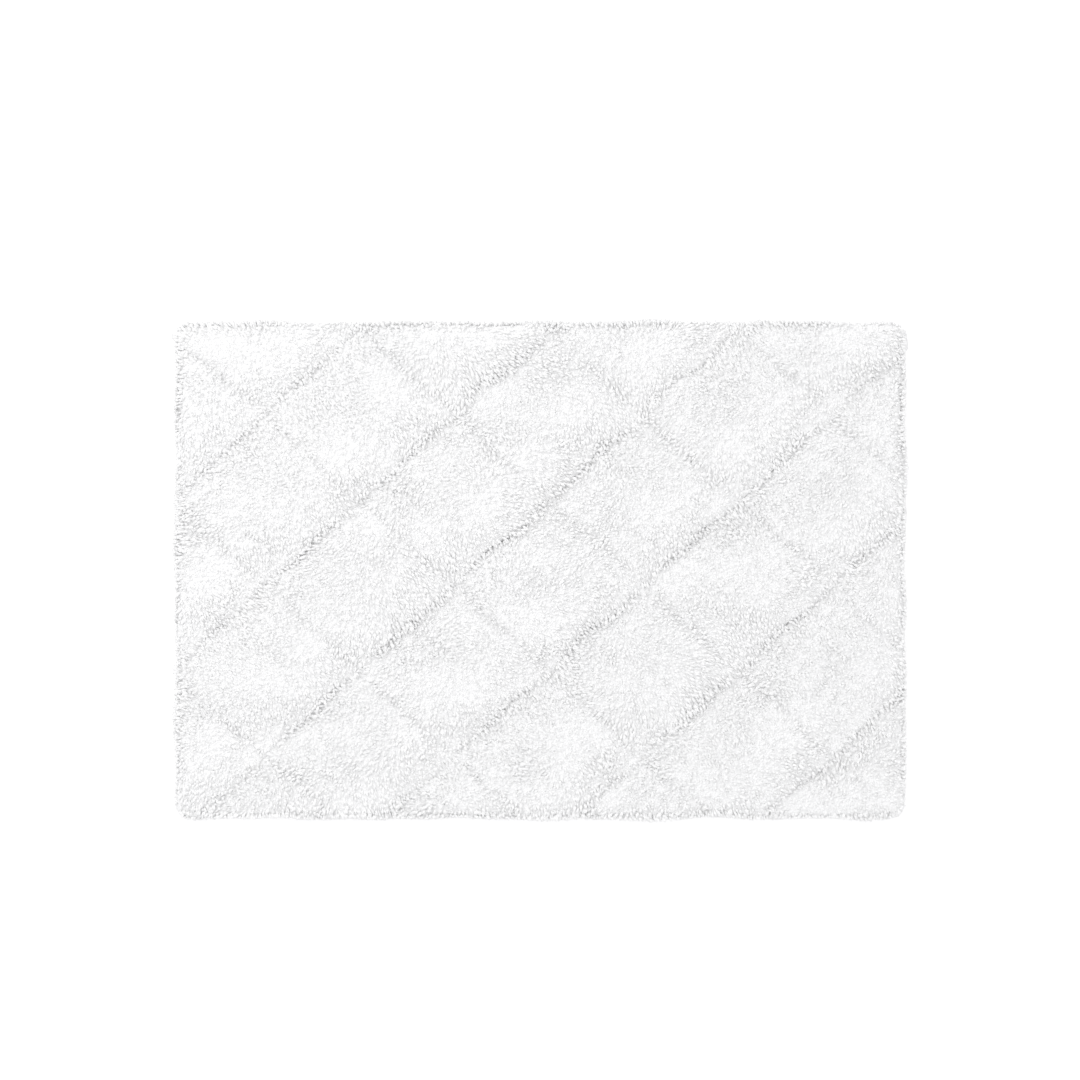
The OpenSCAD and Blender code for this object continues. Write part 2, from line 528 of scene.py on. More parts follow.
# %% How an end leans
channel_fall = 5.5 * MM       # how far a tip falls out over a plain channel,
channel_reach = 9 * MM        # and how far into the diamond that is felt
edge_fall = 7 * MM            # the same at the mat's edge
edge_reach = 9 * MM
nap_loss = 0.75               # share of the nap that is lost right at a channel or an edge
crest_lean = 4 * MM
crest_place = 32 * MM         # how far in from its side the crest lies
crest_reach = 16 * MM         # and half its width
own_lean = 2.1 * MM
parting_pull = 1.2            # over 1, since ends at a parting are drawn back from it


def lean_of(at, sides, draw):
    out, on_edge = sides[1:]
    depth = depths(at, sides)
    plain = np.where(on_edge, 1, channel_share(out))
    reach = np.where(on_edge, edge_reach, channel_reach)
    fall = np.where(on_edge, edge_fall, channel_fall)
    near = np.exp(-np.clip(depth, 0, None) / reach)
    pull = np.where(on_edge, 1.0, 1 - parting_pull * at_parting(at)[:, None])
    splay = ((near * fall * pull * plain)[:, :, None] * out[None]).sum(1)
    size = np.linalg.norm(splay, axis=1, keepdims=True)
    splay *= np.minimum(1, edge_fall / np.maximum(size, 1e-9))
    free = 1 - nap_loss * (near * plain).max(1)
    crest = ~on_edge & (out[:, 0] > slanting_by) & (out[:, 1] < -slanting_by)
    crest = crest * np.exp(-((depth - crest_place) / crest_reach) ** 2)
    together = (lock_middles(at, 41) - at) * lock_pull
    lean = splay + nap(at) * free[:, None] + together + draw.normal(0, own_lean, at.shape)
    lean += (crest[:, :, None] * out[None]).sum(1) * crest_lean
    return lean


sample_lean = lean_of(origin, middle_sides, np.random.default_rng(0))[0]
print("an end at the middle leans by mm:", (sample_lean / MM).round(1))

# %% [markdown]
# At the mat's edge the tips end along one soft line, because the whole edge was trimmed in one pass.
# `trim` pulls each tip that stands out past that line back to it. The line itself wanders a little,
# and no shears cut every end quite alike.

# %% Trim the edge
trim_line = 0.5 * MM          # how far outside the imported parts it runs
trim_wander = 1.4 * MM
trim_wave = 35 * MM
trim_error = 0.4 * MM


def trim(at, lean, draw):
    distance, out = beyond_edge(at + lean)
    line = trim_line + ripple(at, trim_wave, 61) * trim_wander + draw.normal(0, trim_error, len(at))
    return lean - out * np.maximum(distance - line, 0)[:, None]


past_edge = np.array([[half_size[0] - 5 * MM, 0]])
kept = trim(past_edge, np.array([[10 * MM, 0]]), np.random.default_rng(0))[0, 0]
print("a lean of 10 mm out over the edge is trimmed to mm:", round(kept / MM, 1))

# %% [markdown]
# ## Growing a diamond
# `bend` lays copies of an end along curves, all at once. Each copy's middle line is a curve of
# three points: its root, a point above the root, and its tip. A point of the straight end at
# height s goes to the curve's place at s, and its distance from the middle line is kept
# across the curve, so the yarn keeps its thickness however it leans.

# %% Bend copies of an end
least_arch = 1.6 * MM         # even an end that hangs over the edge first rises this far
arch_share = 0.62             # the middle point of the curve: its share of the rise,
start_share = 0.12            # and its share of the lean


def bend(shape, roots, lean, rise, bow, turn, girth):
    """Points of one copy of shape for each root, as an array of copies by points by 3."""
    s = (shape["co"][:, 2] / yarn_l)[None, :, None]
    level = np.linalg.norm(lean, axis=1)
    aside = np.stack([-lean[:, 1], lean[:, 0]], 1) / np.maximum(level, 1e-6)[:, None]
    over = np.maximum(arch_share * rise, least_arch)
    first = np.concatenate([lean * start_share + aside * bow[:, None], over[:, None]], 1)
    last = np.concatenate([lean, rise[:, None]], 1)
    first, last = first[:, None], last[:, None]
    line = 2 * s * (1 - s) * first + s * s * last
    along = 2 * (1 - s) * first + 2 * s * (last - first)
    along /= np.linalg.norm(along, axis=2, keepdims=True)
    flat_aside = np.concatenate([aside, np.zeros((len(aside), 1))], 1)[:, None]
    one = flat_aside - (flat_aside * along).sum(2, keepdims=True) * along
    one /= np.linalg.norm(one, axis=2, keepdims=True)
    two = np.cross(along, one)
    x, y = shape["co"][:, 0], shape["co"][:, 1]
    c, n = np.cos(turn)[:, None], np.sin(turn)[:, None]
    out_one = ((x * c - y * n) * girth[:, None])[:, :, None]
    out_two = ((x * n + y * c) * girth[:, None])[:, :, None]
    return roots[:, None] + line + one * out_one + two * out_two


one_bent = bend(end_shapes[0], np.zeros((1, 3)), np.array([[8 * MM, 0]]), np.array([12 * MM]),
                np.zeros(1), np.zeros(1), np.ones(1))[0]
print("an end bent 8 mm over and 12 mm up reaches to mm:", (one_bent.max(0) / MM).round(1))

# %% [markdown]
# The needle works in straight rows. Every second row is set half a stitch along, and no stitch
# falls quite where it should. The places are laid out over a diamond and a little round it.

# %% Places of the stitches
row_gap = 4.0 * MM
stitch_gap = 4.65 * MM
stitch_error = 0.45 * MM
stitch_margin = 8 * MM        # how far round the diamond stitches are tried


def stitch_places(outline, draw):
    low, high = outline.min(0) - stitch_margin, outline.max(0) + stitch_margin
    rows = np.arange(math.ceil(low[1] / row_gap), math.floor(high[1] / row_gap) + 1)
    counts = np.arange(math.ceil(low[0] / stitch_gap) - 1, math.floor(high[0] / stitch_gap) + 2)
    x, y = np.meshgrid(counts.astype(float), rows.astype(float))
    x = (x + (y % 2) * 0.5) * stitch_gap
    at = np.stack([x.ravel(), y.ravel() * row_gap], 1)
    return at + draw.normal(0, stitch_error, at.shape)


one_count = len(stitch_places(foot_outline(pile_nodes[0]), np.random.default_rng(0)))
print("stitches tried for the first diamond:", one_count)

# %% [markdown]
# Along the mat's edge the rows of stitches would leave a ragged outline, so rows of ends follow the
# edge itself. The outermost hang down over the side, and the next ones stand higher and higher.
# Where a channel runs out over the edge, two more rows close its mouth. Each of these ends is grown
# with the diamond that it stands deepest in.

# %% Ends along the edge
pile_rise = 13.2 * MM         # how far the tips stand above their roots
cloth_corner = 11.5 * MM      # the round corners of the woven cloth
least_corner = 3 * MM
rim_gap = 1.6 * MM
rim_rows = [1.4 * MM, 2.6 * MM, 5.0 * MM, 8.0 * MM]         # how far in from the cloth's edge
rim_full = 2                  # the rows after these only stand where a channel ends
rim_error = 0.5 * MM
rim_leans = (7 * MM, 10 * MM)               # of the outermost row
rim_less = 0.15               # each row further in leans less by this share
mouth_depth = 0.8 * MM        # a place less deep than this in every diamond is a channel's mouth
rim_rises = [(0.12, 0.55), (0.5, 0.9), (0.75, 0.95), (0.8, 1.0)]     # shares of the full rise


def walk_round(size, inset, radius, gap):
    """Places about gap apart along a rectangle with round corners, inset from size."""
    half = np.array(size) / 2 - inset - radius
    turns = np.radians(np.arange(0, 360, 3) + 1.5)
    which = (turns // (math.pi / 2)).astype(int)
    middle = half * np.array([[1, 1], [-1, 1], [-1, -1], [1, -1]])[which]
    line = middle + radius * np.stack([np.cos(turns), np.sin(turns)], 1)
    line = np.concatenate([line, line[:1]])
    far = np.concatenate([[0], np.cumsum(np.linalg.norm(np.diff(line, axis=0), axis=1))])
    count = round(far[-1] / gap)
    at = (np.arange(count) + 0.5) / count * far[-1]
    return np.stack([np.interp(at, far, line[:, k]) for k in (0, 1)], 1)


def rim_ends(draw):
    """Roots, leans and rises of the ends along the mat's edge, and the diamond of each."""
    cloth_low, cloth_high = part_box("backing_cloth")
    size = (cloth_high - cloth_low)[:2]
    rows = [walk_round(size, inset, max(cloth_corner - inset, least_corner), rim_gap)
            for inset in rim_rows]
    row_of = np.repeat(np.arange(len(rows)), [len(r) for r in rows])
    at = np.concatenate(rows) + draw.normal(0, rim_error, (len(row_of), 2))
    depth = np.stack([depths(at, sides_of(foot_outline(n))).min(1) for n in pile_nodes], 1)
    stays = (row_of < rim_full) | (depth.max(1) < mouth_depth)
    at, row_of, owner = at[stays], row_of[stays], depth[stays].argmax(1)
    way = beyond_edge(at)[1]
    lean = way * draw.uniform(*rim_leans, (len(at), 1)) * (1 - rim_less * row_of[:, None])
    lean = trim(at, lean + draw.normal(0, own_lean, at.shape), draw)
    low, high = np.array(rim_rises).T[:, row_of]
    return at, lean, pile_rise * draw.uniform(low, high), owner


rim = rim_ends(np.random.default_rng(900))
print("ends along the edge:", len(rim[0]))

# %% [markdown]
# `grow_ends` settles where every end of a diamond stands, how it leans and how far it rises. The
# stitches outside the diamond are left out. Each of the others leaves two ends, which stand a
# little apart and part further as they rise. Ends next to a channel were sheared shorter, so
# the diamonds look quilted.

# %% Ends of a diamond
ends_apart = 1.3 * MM
parting_ways = 1.6            # how much further apart their tips stand
most_lean = 14 * MM
root_sink = 0.4 * MM          # the roots start a little inside the cloth
channel_over = 1.0 * MM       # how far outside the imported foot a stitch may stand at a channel
faint_over = 1.5 * MM         # and how much further where the channel is faint
edge_in = 1.6 * MM            # how far inside it has to stand at the mat's edge
channel_crop = 0.14           # how much of its height an end loses right at a channel
edge_crop = 0.06
rise_swell = 0.04             # the whole pile swells and sinks by this share
rise_wave = 30 * MM
rise_error = 0.035


def grow_ends(node, draw):
    outline = foot_outline(node)
    sides = sides_of(outline)
    at = stitch_places(outline, draw)
    asked = at - wander(at)
    room = -channel_over - (1 - channel_share(sides[1])) * faint_over
    stays = (depths(asked, sides) > np.where(sides[2], edge_in, room)).all(1)
    at, asked = at[stays], asked[stays]
    # two ends from each stitch, on either side of it
    way = draw.uniform(0, math.tau, len(at))
    half = np.stack([np.cos(way), np.sin(way)], 1) * ends_apart / 2
    at, asked = np.concatenate([at + half, at - half]), np.concatenate([asked, asked])
    lean = lean_of(asked, sides, draw)
    at_channel, at_edge = closeness(asked, sides)
    lean = trim(at, lean + np.concatenate([half, -half]) * parting_ways, draw)
    rise = pile_rise * (1 + rise_swell * ripple(at, rise_wave, 51))
    rise *= draw.normal(1, rise_error, len(at))
    rise *= (1 - channel_crop * at_channel) * (1 - edge_crop * at_edge) * (1 - hollow(asked, sides))
    level = np.linalg.norm(lean, axis=1)
    lean *= np.minimum(1, most_lean / np.maximum(level, 1e-6))[:, None]
    mine = rim[3] == pile_nodes.index(node)
    at, lean = np.concatenate([at, rim[0][mine]]), np.concatenate([lean, rim[1][mine]])
    roots = np.concatenate([at, np.full((len(at), 1), pile_floor - root_sink)], 1)
    return roots, lean, np.concatenate([rise, rim[2][mine]])


# %% [markdown]
# Low down, the yarn stands packed so tightly that no light passes, and modelling every fibre there
# would show nothing. A lumpy bed stands for it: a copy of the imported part, squashed to the height
# where the ends part, drawn in a little, remeshed to even faces and roughened with a cloud texture.
# How far the bed lies under the tips sets how dark the pile looks from above, since light has to
# reach it between the ends. So it sags a little at the channels, the edges and the partings.

# %% Model the bed of a diamond
bed_share = 0.76              # of the pile's height
bed_inset = 1.6 * MM          # how far it draws in all round
bed_spread = 3.5 * MM         # how far the bed fills a faint channel
bed_rim_out = 0.2 * MM        # how far it comes out again at the mat's edge
bed_channel_sag = 0.06        # each as a share of the bed's height
bed_edge_sag = 0.06
parting_sag = 0.5
corner_sag = 0.4
bed_hollow = 1.65             # over 1, since the bed lies deeper under the hollows
bed_face = 5.2 * MM           # the size of its faces
bed_roughness = 1.5 * MM      # the height of its lumps
lump_size = 5 * MM

lumps = bpy.data.textures.new("lumps", "CLOUDS")
lumps.noise_scale = lump_size


def model_bed(node):
    """The bed of a diamond, as the arrays of its mesh."""
    choose(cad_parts[node])
    bpy.ops.object.duplicate()
    bed = bpy.context.object
    bed.parent = None
    for key in list(bed.keys()):
        del bed[key]
    low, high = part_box(node)
    middle = (low + high) / 2
    span = high - low
    bpy.ops.object.mode_set(mode="EDIT")
    bpy.ops.mesh.select_all(action="SELECT")
    bpy.ops.mesh.remove_doubles(threshold=0.001 * MM)
    smaller = (1 - 2 * bed_inset / span.x, 1 - 2 * bed_inset / span.y, bed_share)
    bpy.ops.transform.resize(value=smaller, center_override=(middle.x, middle.y, low.z))
    bpy.ops.object.mode_set(mode="OBJECT")
    bpy.ops.object.modifier_add(type="REMESH")
    bed.modifiers[-1].mode = "VOXEL"
    bed.modifiers[-1].voxel_size = bed_face
    bpy.ops.object.modifier_apply(modifier=bed.modifiers[-1].name)
    bpy.ops.object.modifier_add(type="DISPLACE")
    bed.modifiers[-1].texture = lumps
    bed.modifiers[-1].texture_coords = "GLOBAL"
    bed.modifiers[-1].strength = bed_roughness
    bpy.ops.object.modifier_apply(modifier=bed.modifiers[-1].name)
    shape = read_mesh(bed)
    bpy.data.objects.remove(bed)
    co = shape["co"]
    sides = sides_of(foot_outline(node))
    at_channel, at_edge = closeness(co[:, :2], sides)
    near = np.exp(-np.abs(depths(co[:, :2], sides)) / bed_face)
    near *= np.where(sides[2], bed_rim_out, (1 - channel_share(sides[1])) * bed_spread)
    co[:, :2] += (near[:, :, None] * sides[1][None]).sum(1)
    sag = (1 - bed_channel_sag * at_channel) * (1 - bed_edge_sag * at_edge)
    sag -= parting_sag * at_channel * at_parting(co[:, :2]) + corner_sag * at_corner(co[:, :2])
    sag *= 1 - bed_hollow * hollow(co[:, :2], sides)
    co[:, 2] = np.maximum(pile_floor + (co[:, 2] - pile_floor) * sag, pile_floor)
    co[:, :2] += wander(co[:, :2])
    return shape


bed_top = (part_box(pile_nodes[0])[1].z - pile_floor) * bed_share
print("the bed rises over the cloth by mm:", round(bed_top / MM, 1))

# %% [markdown]
# A diamond's mesh is put together from its copies. Every copy has its own shade of white in the
# attribute `tone`, and its own square in the map `OFBake`, so that a picture of the whole diamond's
# colour can be taken without two ends sharing a spot of it. A strip along the top of that map is
# kept for the bed.

# %% Put a diamond together
BED_ROOM = 0.12               # share of the map that shows the bed
BED_MARGIN = 0.01             # kept free round each of the bed's two strips
CELL_MARGIN = 0.06            # kept free round each end's square, as a share of the square


def bed_maps(bed):
    """The bed from above and from below, as two strips along the top of the map."""
    co = bed["co"][bed["corners"]]
    face_of = np.repeat(np.arange(len(bed["sizes"])), bed["sizes"])
    first = np.concatenate([[0], np.cumsum(bed["sizes"])[:-1]])
    a, b, c = co[first], co[first + 1], co[first + 2]
    under = (np.cross(b - a, c - a)[:, 2] < 0)[face_of]
    middle = bed["co"].mean(0)
    way = co[:, :2] - middle[:2]
    way /= np.maximum(np.linalg.norm(way, axis=1), 1e-6)[:, None]
    spread = co[:, :2] + way * (bed["co"][:, 2].max() - co[:, 2:3])
    low, high = spread.min(0), spread.max(0)
    place = (spread - low) / (high - low)
    strip = BED_ROOM / 2 - BED_MARGIN
    up = 1 - BED_ROOM + BED_MARGIN / 2 + place[:, 1] * strip + np.where(under, BED_ROOM / 2, 0)
    return np.stack([BED_MARGIN + (1 - 2 * BED_MARGIN) * place[:, 0], up], 1)


def join_ends(groups, total, bed=None):
    """Arrays of one mesh, from the bed and groups of shape, points, tones and copy numbers."""
    across = math.ceil(math.sqrt(total))
    co, corners, sizes, yarn, cell, tone, base = [], [], [], [], [], [], 0
    if bed:
        co, corners, sizes = [bed["co"]], [bed["corners"]], [bed["sizes"]]
        yarn, cell = [bed["co"][bed["corners"]][:, :2] / yarn_l], [bed_maps(bed)]
        tone, base = [np.full(len(bed["co"]), 0.5)], len(bed["co"])
    for shape, points, shades, numbers in groups:
        count, each = points.shape[:2]
        co.append(points.reshape(-1, 3))
        shift = base + each * np.arange(count)
        corners.append((shape["corners"][None] + shift[:, None]).ravel())
        sizes.append(np.tile(shape["sizes"], count))
        yarn.append(np.tile(shape["yarn"], (count, 1)))
        corner = np.stack([numbers % across, numbers // across], 1)[:, None]
        squares = (corner + CELL_MARGIN / 2 + shape["cell"][None] * (1 - CELL_MARGIN)) / across
        squares[:, :, 1] *= 1 - BED_ROOM if bed else 1
        cell.append(squares.reshape(-1, 2))
        tone.append(np.repeat(shades, each))
        base += count * each
    return {"co": np.concatenate(co), "corners": np.concatenate(corners),
            "sizes": np.concatenate(sizes), "yarn": np.concatenate(yarn),
            "cell": np.concatenate(cell), "tone": np.concatenate(tone),
            "bed_faces": len(bed["sizes"]) if bed else 0}


def build_mesh(name, parts):
    """A new piece from arrays. The bed's faces take its second material."""
    mesh = bpy.data.meshes.new(name)
    mesh.vertices.add(len(parts["co"]))
    mesh.vertices.foreach_set("co", parts["co"].ravel())
    mesh.loops.add(len(parts["corners"]))
    mesh.loops.foreach_set("vertex_index", parts["corners"])
    mesh.polygons.add(len(parts["sizes"]))
    starts = np.concatenate([[0], np.cumsum(parts["sizes"])[:-1]])
    mesh.polygons.foreach_set("loop_start", starts)
    mesh.polygons.foreach_set("use_smooth", np.ones(len(parts["sizes"]), bool))
    is_bed = np.arange(len(parts["sizes"])) < parts["bed_faces"]
    mesh.polygons.foreach_set("material_index", is_bed.astype(int))
    mesh.uv_layers.new(name="OFBake").data.foreach_set("uv", parts["cell"].ravel())
    mesh.uv_layers.new(name="yarn").data.foreach_set("uv", parts["yarn"].ravel())
    shade = mesh.attributes.new("tone", "FLOAT", "POINT")
    shade.data.foreach_set("value", parts["tone"])
    mesh.update()
    mesh.validate()
    piece = bpy.data.objects.new(name, mesh)
    scene.collection.objects.link(piece)
    return piece


print("share of the map for the bed:", BED_ROOM)

# %% [markdown]
# Now all 31 diamonds are grown. Each draws its chances from a seed of its own: which of the three
# kinds of end every copy is, how it bows to the side, how it is turned, how thick it is, and its
# shade of white.

# %% Grow the pile
kind_shares = [0.45, 0.35, 0.2]             # plain, open and slim ends
bow_spread = 1.6 * MM
girth_spread = 0.07

pile_pieces = []
for number, node in enumerate(pile_nodes):
    draw = np.random.default_rng(1000 + number)
    roots, lean, rise = grow_ends(node, draw)
    count = len(roots)
    kind = draw.choice(len(end_shapes), count, p=kind_shares)
    bow = draw.normal(0, bow_spread, count)
    turn = draw.uniform(0, math.tau, count)
    girth = draw.normal(1, girth_spread, count)
    shades = draw.uniform(0, 1, count)
    groups = []
    for k, shape in enumerate(end_shapes):
        rows = np.where(kind == k)[0]
        points = bend(shape, roots[rows], lean[rows], rise[rows], bow[rows], turn[rows], girth[rows])
        groups.append((shape, points, shades[rows], rows))
    piece = build_mesh(node.replace("pile_", "shag_"), join_ends(groups, count, model_bed(node)))
    pile_pieces.append(piece)
    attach(piece, "root")
    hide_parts(node)
print("ends:", sum(len(p.data.vertices) for p in pile_pieces) // len(end_shapes[0]["co"]))

# %% [markdown]
# ## The cotton
# Bleached cotton is almost the same white all over. What shows it is yarn is its relief: three
# plies wound round each other, and fine fibres along them. Both are waves on the `yarn` map, which
# runs round and along each end, so they follow every bend. The bed has no such map, so its relief
# is a pattern of small cells, like yarn ends seen from above, in the object's own coordinates.

# %% Helpers for materials
def new_material(name, roughness):
    """A material with the plain shader that every finish here starts from."""
    made = bpy.data.materials.new(name)
    made.use_nodes = True
    made.node_tree.nodes["Principled BSDF"].inputs["Roughness"].default_value = roughness
    return made


def add(material, kind, settings=None, **inputs):
    """A new node. inputs name its sockets, with _ for a space, and are values or other sockets."""
    made = material.node_tree.nodes.new(kind)
    for key, value in (settings or {}).items():
        setattr(made, key, value)
    for key, value in inputs.items():
        feed(material, value, made.inputs[key.replace("_", " ")])
    return made


def feed(material, value, socket):
    """Wires a socket to the other socket value, or sets it to the plain value."""
    if isinstance(value, bpy.types.NodeSocket):
        material.node_tree.links.new(value, socket)
    else:
        socket.default_value = value


def calc(material, operation, first, second=0.0):
    made = add(material, "ShaderNodeMath", {"operation": operation})
    feed(material, first, made.inputs[0])
    feed(material, second, made.inputs[1])
    return made.outputs[0]


def paint(material, factor, low, high):
    """Wires a mix from the colour low to high to the shader, by the socket factor."""
    mix = add(material, "ShaderNodeMix", {"data_type": "RGBA"}, Factor=factor)
    mix.inputs[6].default_value = (*low, 1)        # 6, 7 and 2 are its sockets for colours
    mix.inputs[7].default_value = (*high, 1)
    shader = material.node_tree.nodes["Principled BSDF"]
    feed(material, mix.outputs[2], shader.inputs["Base Color"])


def emboss(material, *reliefs):
    """Wires bumps on top of each other to the shader. Each is (socket, height in metres)."""
    normal = None
    for source, height in reliefs:
        bump = add(material, "ShaderNodeBump", Strength=1.0, Distance=height, Height=source)
        if normal:
            feed(material, normal, bump.inputs["Normal"])
        normal = bump.outputs["Normal"]
    feed(material, normal, material.node_tree.nodes["Principled BSDF"].inputs["Normal"])


def yarn_reliefs(material, turns, lays, fibres):
    """Three plies that wind turns times round, and fibres, on the map yarn."""
    wound = add(material, "ShaderNodeUVMap", {"uv_map": "yarn"}).outputs["UV"]
    parts = add(material, "ShaderNodeSeparateXYZ", Vector=wound)
    round_it = calc(material, "MULTIPLY", parts.outputs["X"], 3 * math.tau)
    along_it = calc(material, "MULTIPLY", parts.outputs["Y"], turns * math.tau)
    plies = calc(material, "SINE", calc(material, "ADD", round_it, along_it))
    spread = add(material, "ShaderNodeMapping", Vector=wound, Scale=(fibres, lays, 1.0))
    hairs = add(material, "ShaderNodeTexNoise", Vector=spread.outputs["Vector"], Scale=1.0,
                Detail=4.0)
    return plies, hairs.outputs["Fac"]


# %% [markdown]
# The yarn's white runs a little warmer and darker on some ends than on others. The bed gets the
# same white on its crowns and a grey of painted shade between them, where on a real mat the ends
# stand in each other's shade.

# %% Cotton materials
cotton_roughness = 0.95
dull_white, clean_white = (0.935, 0.935, 0.93), (0.97, 0.97, 0.97)
# painted shade: the grey that the bed gets between its crowns
painted_shade_grey = (0.80, 0.80, 0.80)
crown_size = 2.4 * MM
fuzz_size = 1.2 * MM

cotton = new_material("cotton_yarn", cotton_roughness)
plies, hairs = yarn_reliefs(cotton, turns=4, lays=4, fibres=34)
emboss(cotton, (plies, 0.22 * MM), (hairs, 0.3 * MM))
own_shade = add(cotton, "ShaderNodeAttribute", {"attribute_name": "tone"}).outputs["Fac"]
paint(cotton, own_shade, dull_white, clean_white)

bed_cotton = new_material("packed_cotton", cotton_roughness)
place = add(bed_cotton, "ShaderNodeTexCoord").outputs["Object"]
cells = add(bed_cotton, "ShaderNodeTexVoronoi", Vector=place, Scale=1 / crown_size)
fuzz = add(bed_cotton, "ShaderNodeTexNoise", Vector=place, Scale=1 / fuzz_size, Detail=4.0)
crowns = calc(bed_cotton, "SUBTRACT", 1.0, cells.outputs["Distance"])
emboss(bed_cotton, (crowns, 1.7 * MM), (fuzz.outputs["Fac"], 0.6 * MM))
# painted shade: the bed is white on its crowns and grey between them
paint(bed_cotton, cells.outputs["Distance"], clean_white, painted_shade_grey)

for piece in pile_pieces:
    piece.data.materials.append(cotton)
    piece.data.materials.append(bed_cotton)
print("pieces of cotton pile:", len(pile_pieces))

# %% [markdown]
# ## The backing cloth
# The tufts are stitched into a plain woven cloth. It only shows deep in the channels and as a thin
# edge from the side. A flat grid carries it: its outer points are drawn in to the round corners,
# it gets a slight unevenness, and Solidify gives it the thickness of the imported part.

# %% Helpers for flat pieces
smooth_angle = 40             # in degrees: a sharper bend than this shows as an edge


def new_grid(name, columns, rows):
    """A flat grid, with each point's share of the way along and across it."""
    choose_none()
    bpy.ops.mesh.primitive_grid_add(x_subdivisions=columns, y_subdivisions=rows, size=2)
    piece = bpy.context.object
    piece.name = name
    co = read_mesh(piece)["co"]
    return piece, np.clip(np.round((co[:, :2] + 1) / 2, 6), 0, 1)


def set_points(piece, co):
    """Moves every point of the piece to its row of co."""
    piece.data.vertices.foreach_set("co", np.ascontiguousarray(co).ravel())
    piece.data.update()


def map_in_metres(piece, along, across):
    """A map that lies on the piece at true size, for a weave that follows it."""
    corners = read_mesh(piece)["corners"]
    flat = np.stack([along[corners], across[corners]], 1)
    piece.data.uv_layers[0].name = "weave"
    piece.data.uv_layers[0].data.foreach_set("uv", flat.ravel())


def round_corners(at, size, radius):
    """Draws each place in to a rectangle of that size with round corners."""
    fold = np.abs(at) - (np.array(size) / 2 - radius)
    outer = np.maximum(fold, 0)
    length = np.linalg.norm(outer, axis=1, keepdims=True)
    held = np.where(fold > 0, outer * np.minimum(1, radius / np.maximum(length, 1e-9)), fold)
    return np.sign(at) * (held + np.array(size) / 2 - radius)


def thicken(piece, thickness):
    """Gives the piece a wall that grows upwards."""
    choose(piece)
    bpy.ops.object.modifier_add(type="SOLIDIFY")
    piece.modifiers[-1].thickness = thickness
    piece.modifiers[-1].offset = 1
    bpy.ops.object.modifier_apply(modifier=piece.modifiers[-1].name)
    bpy.ops.object.mode_set(mode="EDIT")
    bpy.ops.mesh.select_all(action="SELECT")
    bpy.ops.mesh.normals_make_consistent(inside=False)
    bpy.ops.object.mode_set(mode="OBJECT")
    bpy.ops.object.shade_smooth_by_angle(angle=math.radians(smooth_angle))
    choose_none()


def place_piece(piece, node, material):
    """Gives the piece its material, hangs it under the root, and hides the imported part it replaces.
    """
    piece.data.materials.clear()
    piece.data.materials.append(material)
    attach(piece, "root")
    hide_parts(node)


one_corner = round_corners(np.array([[10 * MM, 10 * MM]]), (20 * MM, 20 * MM), 5 * MM)[0]
print("with a radius of 5 mm a corner at 10 mm is drawn in to mm:", (one_corner / MM).round(1))

# %% [markdown]
# The weave itself is too fine to model for a piece this size, so it is a relief: one wave along
# the cloth times one across it gives the knots of a plain weave, and noise gives the slubs.

# %% Model the backing cloth
cloth_low, cloth_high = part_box("backing_cloth")
cloth_size = np.array([cloth_high.x - cloth_low.x, cloth_high.y - cloth_low.y])
cloth_t = cloth_high.z - cloth_low.z
cloth_lift = 0.06 * MM        # the cloth isn't quite flat
cloth_wave = 25 * MM
thread_gap = 1.3 * MM

cloth, share = new_grid("woven_backing", 74, 50)
at = round_corners((share - 0.5) * cloth_size, cloth_size, cloth_corner)
lift = ripple(at, cloth_wave, 71) * cloth_lift
set_points(cloth, np.stack([at[:, 0], at[:, 1], cloth_low.z + cloth_lift + lift], 1))
map_in_metres(cloth, at[:, 0], at[:, 1])
thicken(cloth, cloth_t - 2 * cloth_lift)

weave = new_material("plain_weave", 0.9)
woven = add(weave, "ShaderNodeUVMap", {"uv_map": "weave"}).outputs["UV"]
parts = add(weave, "ShaderNodeSeparateXYZ", Vector=woven)
warp = calc(weave, "SINE", calc(weave, "MULTIPLY", parts.outputs["X"], math.pi / thread_gap))
weft = calc(weave, "SINE", calc(weave, "MULTIPLY", parts.outputs["Y"], math.pi / thread_gap))
knots = calc(weave, "MULTIPLY", warp, weft)
slubs = add(weave, "ShaderNodeTexNoise", Vector=woven, Scale=1 / (0.6 * MM), Detail=3.0)
slubs = slubs.outputs["Fac"]
emboss(weave, (knots, 0.2 * MM), (slubs, 0.1 * MM))
paint(weave, slubs, (0.86, 0.85, 0.82), (0.95, 0.94, 0.92))
place_piece(cloth, "backing_cloth", weave)
print("backing cloth faces:", len(cloth.data.polygons))

# %% [markdown]
# ## The latex coat
# Under the cloth a coat of foamed latex holds the tufts and grips the floor. Each row of back
# stitches stands out under it as a soft rib, 4 mm from the next. The field inside the hem is a grid
# fine enough across the ribs to carry them, with its wall drawn up from its outer edge. It is
# hollowed over the care label, which lies sunk in it.

# %% Model the ribbed field of latex
latex_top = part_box("latex_coat")[1].z
label_low, label_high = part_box("care_label")
tape_low, tape_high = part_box("hem_tape_front")
tape_w = 24 * MM
tape_t = tape_high.z - tape_low.z
seam_gaps = 0.6 * MM          # between the field and the tape, on both sides together
field_size = cloth_size - 2 * tape_w - seam_gaps
rib_high = 0.42 * MM
grain_high = 0.06 * MM
floor_gap = 0.03 * MM         # the ribs come down to this height over the floor
label_play = 0.15 * MM        # room round the label
label_over = 0.06 * MM        # and above it
label_x = label_high.x + label_play
label_rim = 0.6 * MM          # past the label the latex comes down to its own level in this length
label_tuck = 8 * MM
label_half = (label_high.y - label_low.y) / 2 + label_play
label_y = (label_high.y + label_low.y) / 2

